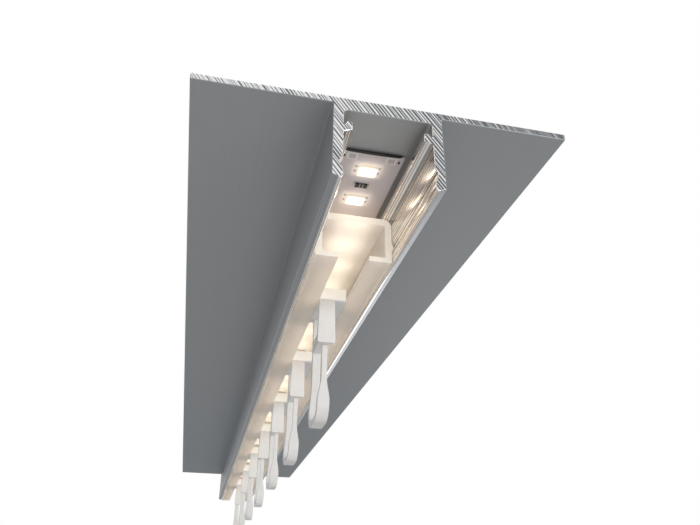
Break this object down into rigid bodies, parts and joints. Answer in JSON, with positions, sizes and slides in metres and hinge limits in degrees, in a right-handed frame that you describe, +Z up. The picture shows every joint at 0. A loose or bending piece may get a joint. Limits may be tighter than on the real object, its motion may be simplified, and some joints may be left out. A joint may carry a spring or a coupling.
{
  "type": "led curtain profile",
  "caption": "Plaster-in ceiling profile with an LED strip in its channel and, below it, a translucent curtain rail whose gliders slide and carry pleat hooks.",
  "frame": {"origin": "centre of the flat top face, which goes against the ceiling", "axes": "+Z up into the ceiling, +Y along the profile away from the end where the strip and the rail are set back, +X across the channel"},
  "size_m": [0.056, 0.29, 0.0357],
  "materials": {
    "aluminium": "mill finish, drawn along its length",
    "milky_plastic": "translucent milky extrusion",
    "tape": "double-sided adhesive tape",
    "board": "white solder mask with tinned pads",
    "led": "white package with a lit warm window",
    "resistor": "black glaze with tinned ends",
    "glider": "off-white moulding"
  },
  "bodies": {
    "fixed": {"profile": "aluminium", "curtain_rail": "milky_plastic", "strip_tape": "tape", "strip_board": "board", "led_01": "led", "led_02": "led", "led_03": "led", "led_04": "led", "led_05": "led", "led_06": "led", "led_07": "led", "led_08": "led", "led_09": "led", "led_10": "led", "led_11": "led", "led_12": "led", "led_13": "led", "led_14": "led", "led_15": "led", "led_16": "led", "led_17": "led", "led_18": "led", "led_19": "led", "led_20": "led", "led_21": "led", "led_22": "led", "led_23": "led", "led_24": "led", "led_25": "led", "led_26": "led", "led_27": "led", "led_28": "led", "led_29": "led", "led_30": "led", "led_31": "led", "led_32": "led", "led_33": "led", "resistor_01": "resistor", "resistor_02": "resistor", "resistor_03": "resistor", "resistor_04": "resistor", "resistor_05": "resistor", "resistor_06": "resistor", "resistor_07": "resistor", "resistor_08": "resistor", "resistor_09": "resistor", "resistor_10": "resistor", "resistor_11": "resistor"},
    "glider_1": {"glider_1": "glider"},
    "glider_2": {"glider_2": "glider"},
    "glider_3": {"glider_3": "glider"},
    "glider_4": {"glider_4": "glider"},
    "glider_5": {"glider_5": "glider"},
    "glider_6": {"glider_6": "glider"},
    "glider_7": {"glider_7": "glider"}
  },
  "joints": [
    {"name": "glider_1_slide", "type": "slide", "parent": "fixed", "child": "glider_1", "axis": [0, 1, 0], "range_m": [-0.0165, 0.0202]},
    {"name": "glider_2_slide", "type": "slide", "parent": "fixed", "child": "glider_2", "axis": [0, 1, 0], "range_m": [-0.0202, 0.0202]},
    {"name": "glider_3_slide", "type": "slide", "parent": "fixed", "child": "glider_3", "axis": [0, 1, 0], "range_m": [-0.0202, 0.0202]},
    {"name": "glider_4_slide", "type": "slide", "parent": "fixed", "child": "glider_4", "axis": [0, 1, 0], "range_m": [-0.0202, 0.0202]},
    {"name": "glider_5_slide", "type": "slide", "parent": "fixed", "child": "glider_5", "axis": [0, 1, 0], "range_m": [-0.0202, 0.0202]},
    {"name": "glider_6_slide", "type": "slide", "parent": "fixed", "child": "glider_6", "axis": [0, 1, 0], "range_m": [-0.0202, 0.0202]},
    {"name": "glider_7_slide", "type": "slide", "parent": "fixed", "child": "glider_7", "axis": [0, 1, 0], "range_m": [-0.0202, 0.0342]}
  ]
}
